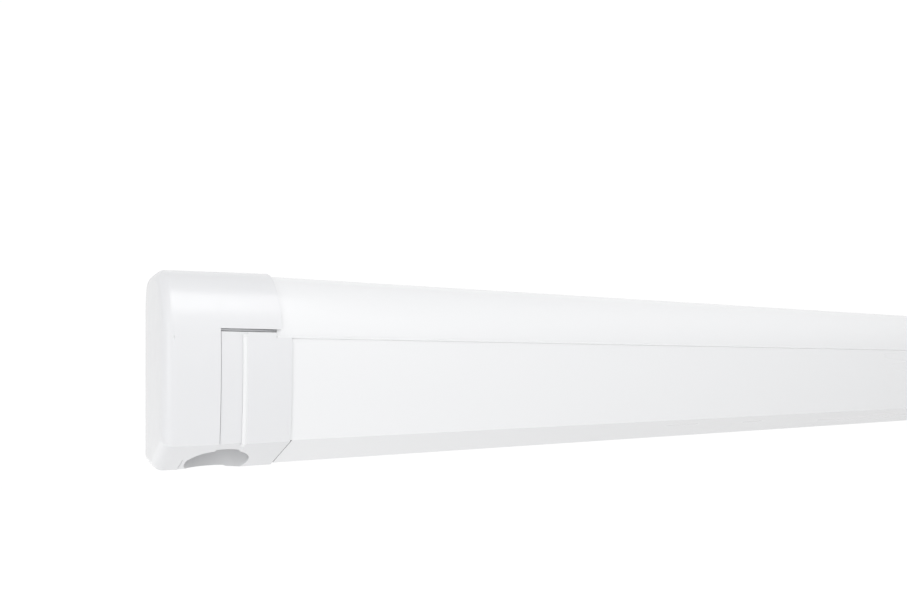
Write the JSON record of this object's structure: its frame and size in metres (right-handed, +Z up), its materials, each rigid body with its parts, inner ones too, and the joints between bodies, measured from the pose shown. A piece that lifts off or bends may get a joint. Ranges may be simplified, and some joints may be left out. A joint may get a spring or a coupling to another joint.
{
  "type": "roll out awning",
  "caption": "Wall-mounted cassette awning: closed white housing, folding arms, lead rail with drop-down telescopic legs and a crank-driven roller.",
  "frame": {"origin": "centre of the flat wall face of the cassette", "axes": "+X along the awning, to the right seen from in front; +Y into the wall; +Z up; the front faces -Y"},
  "size_m": [2.5998, 0.11, 0.1544],
  "materials": {
    "cap_plastic": "moulded white plastic, fine satin gloss",
    "profile_paint": "white powder-coated extrusion",
    "arm_paint": "light grey-white powder coat",
    "cast_aluminium": "cast, bead-blasted",
    "leg_aluminium": "natural anodised extrusion",
    "steel": "zinc-plated fasteners and pins",
    "roller_steel": "galvanised tube",
    "rubber": "extruded seal",
    "fabric": "coated awning cloth, plain grey",
    "grey_plastic": "moulded grey nylon",
    "bearing_plastic": "acetal bushes",
    "gear_brass": "machined worm wheel"
  },
  "bodies": {
    "cassette": {"cassette_housing": "profile_paint", "front_seal": "rubber", "rear_seal": "rubber", "left_end_cap": "cap_plastic", "right_end_cap": "cap_plastic", "left_end_plate": "cast_aluminium", "right_end_plate": "cast_aluminium", "plate_screws": "steel", "roller_bushes": "bearing_plastic", "gearbox_housing": "grey_plastic", "left_shoulder_bracket": "cast_aluminium", "right_shoulder_bracket": "cast_aluminium", "bracket_bolts": "steel", "shoulder_pins": "steel"},
    "roller": {"roller_tube": "roller_steel", "left_roller_plug": "cast_aluminium", "right_roller_plug": "cast_aluminium", "worm_wheel": "gear_brass", "canopy_roll": "fabric"},
    "crank": {"worm_shaft": "steel", "crank_eye": "steel"},
    "canopy": {"canopy_leader": "fabric"},
    "front_rail": {"lead_rail": "profile_paint", "left_rail_cap": "cap_plastic", "right_rail_cap": "cap_plastic", "rail_cap_screws": "steel", "canopy_bead": "fabric", "left_rail_bracket": "cast_aluminium", "right_rail_bracket": "cast_aluminium", "rail_bolts": "steel", "rail_pins": "steel", "left_leg_bracket": "grey_plastic", "right_leg_bracket": "grey_plastic", "leg_pins": "steel", "leg_clips": "grey_plastic"},
    "left_inner_arm": {"left_shoulder_knuckle": "cast_aluminium", "left_inner_arm_tube": "arm_paint", "left_elbow_fork": "cast_aluminium", "left_elbow_pin": "steel"},
    "left_outer_arm": {"left_elbow_knuckle": "cast_aluminium", "left_outer_arm_tube": "arm_paint", "left_rail_knuckle": "cast_aluminium"},
    "right_inner_arm": {"right_shoulder_knuckle": "cast_aluminium", "right_inner_arm_tube": "arm_paint", "right_elbow_fork": "cast_aluminium", "right_elbow_pin": "steel"},
    "right_outer_arm": {"right_elbow_knuckle": "cast_aluminium", "right_outer_arm_tube": "arm_paint", "right_rail_knuckle": "cast_aluminium"},
    "left_leg": {"left_leg_tube": "leg_aluminium", "left_leg_collar": "grey_plastic"},
    "left_leg_slide": {"left_leg_extension": "leg_aluminium"},
    "left_foot": {"left_leg_foot": "grey_plastic"},
    "left_lock": {"left_leg_lock": "grey_plastic"},
    "right_leg": {"right_leg_tube": "leg_aluminium", "right_leg_collar": "grey_plastic"},
    "right_leg_slide": {"right_leg_extension": "leg_aluminium"},
    "right_foot": {"right_leg_foot": "grey_plastic"},
    "right_lock": {"right_leg_lock": "grey_plastic"}
  },
  "joints": [
    {"name": "left_shoulder", "type": "hinge", "parent": "cassette", "child": "left_inner_arm", "pos_m": [-1.18, -0.027, -0.0278], "axis": [0, 0.1736, -0.9848], "range_deg": [0, 77]},
    {"name": "left_elbow", "type": "hinge", "parent": "left_inner_arm", "child": "left_outer_arm", "pos_m": [-0.18017, -0.045, -0.03097], "axis": [0, 0.1736, -0.9848], "range_deg": [-154.5, 0]},
    {"name": "left_rail_pivot", "type": "hinge", "parent": "left_outer_arm", "child": "front_rail", "pos_m": [-1.18, -0.063, -0.03415], "axis": [0, 0.1736, -0.9848], "range_deg": [0, 77.5]},
    {"name": "right_shoulder", "type": "hinge", "parent": "cassette", "child": "right_inner_arm", "pos_m": [1.18, -0.027, -0.0278], "axis": [0, -0.1736, 0.9848], "range_deg": [0, 77.5]},
    {"name": "right_elbow", "type": "hinge", "parent": "right_inner_arm", "child": "right_outer_arm", "pos_m": [0.18017, -0.045, -0.03097], "axis": [0, -0.1736, 0.9848], "range_deg": [-154.5, 0]},
    {"name": "canopy_run_out", "type": "slide", "parent": "cassette", "child": "canopy", "axis": [0, -0.9848, -0.1736], "range_m": [0, 1.9211], "deforming": ["canopy_leader"]},
    {"name": "roller_spin", "type": "hinge", "parent": "cassette", "child": "roller", "pos_m": [0, -0.042, 0.032], "axis": [-1, 0, 0], "range_deg": [0, 3411]},
    {"name": "crank_spin", "type": "hinge", "parent": "cassette", "child": "crank", "pos_m": [-1.253, -0.07, 0], "axis": [0, 0, 1], "range_deg": [0, 17050]},
    {"name": "left_leg_swing", "type": "hinge", "parent": "front_rail", "child": "left_leg", "pos_m": [-1.19, -0.046, -0.0644], "axis": [0, 1, 0], "range_deg": [0, 90]},
    {"name": "left_leg_extend", "type": "slide", "parent": "left_leg", "child": "left_leg_slide", "axis": [1, 0, 0], "range_m": [0, 0.801]},
    {"name": "left_foot_tilt", "type": "hinge", "parent": "left_leg_slide", "child": "left_foot", "pos_m": [-0.162, -0.046, -0.0644], "axis": [0, 1, 0], "range_deg": [0, 90]},
    {"name": "left_lock_lever", "type": "hinge", "parent": "left_leg", "child": "left_lock", "pos_m": [-0.189, -0.046, -0.07275], "axis": [0, -1, 0], "range_deg": [0, 75]},
    {"name": "right_leg_swing", "type": "hinge", "parent": "front_rail", "child": "right_leg", "pos_m": [1.19, -0.046, -0.0644], "axis": [0, -1, 0], "range_deg": [0, 90]},
    {"name": "right_leg_extend", "type": "slide", "parent": "right_leg", "child": "right_leg_slide", "axis": [-1, 0, 0], "range_m": [0, 0.801]},
    {"name": "right_foot_tilt", "type": "hinge", "parent": "right_leg_slide", "child": "right_foot", "pos_m": [0.162, -0.046, -0.0644], "axis": [0, -1, 0], "range_deg": [0, 90]},
    {"name": "right_lock_lever", "type": "hinge", "parent": "right_leg", "child": "right_lock", "pos_m": [0.189, -0.046, -0.07275], "axis": [0, 1, 0], "range_deg": [0, 75]}
  ],
  "couplings": [
    {"joint": "left_elbow", "follows": "left_shoulder", "ratio": -2},
    {"joint": "left_rail_pivot", "follows": "left_shoulder", "ratio": 1},
    {"joint": "right_shoulder", "follows": "left_shoulder", "ratio": 1},
    {"joint": "right_elbow", "follows": "left_shoulder", "ratio": -2},
    {"joint": "canopy_run_out", "follows": "left_shoulder", "m_per_rad": 1.4287},
    {"joint": "roller_spin", "follows": "left_shoulder", "ratio": 44.233},
    {"joint": "crank_spin", "follows": "left_shoulder", "ratio": 221.17},
    {"joint": "left_leg_extend", "follows": "left_leg_swing", "m_per_rad": 0.5093},
    {"joint": "right_leg_extend", "follows": "right_leg_swing", "m_per_rad": 0.5093}
  ]
}
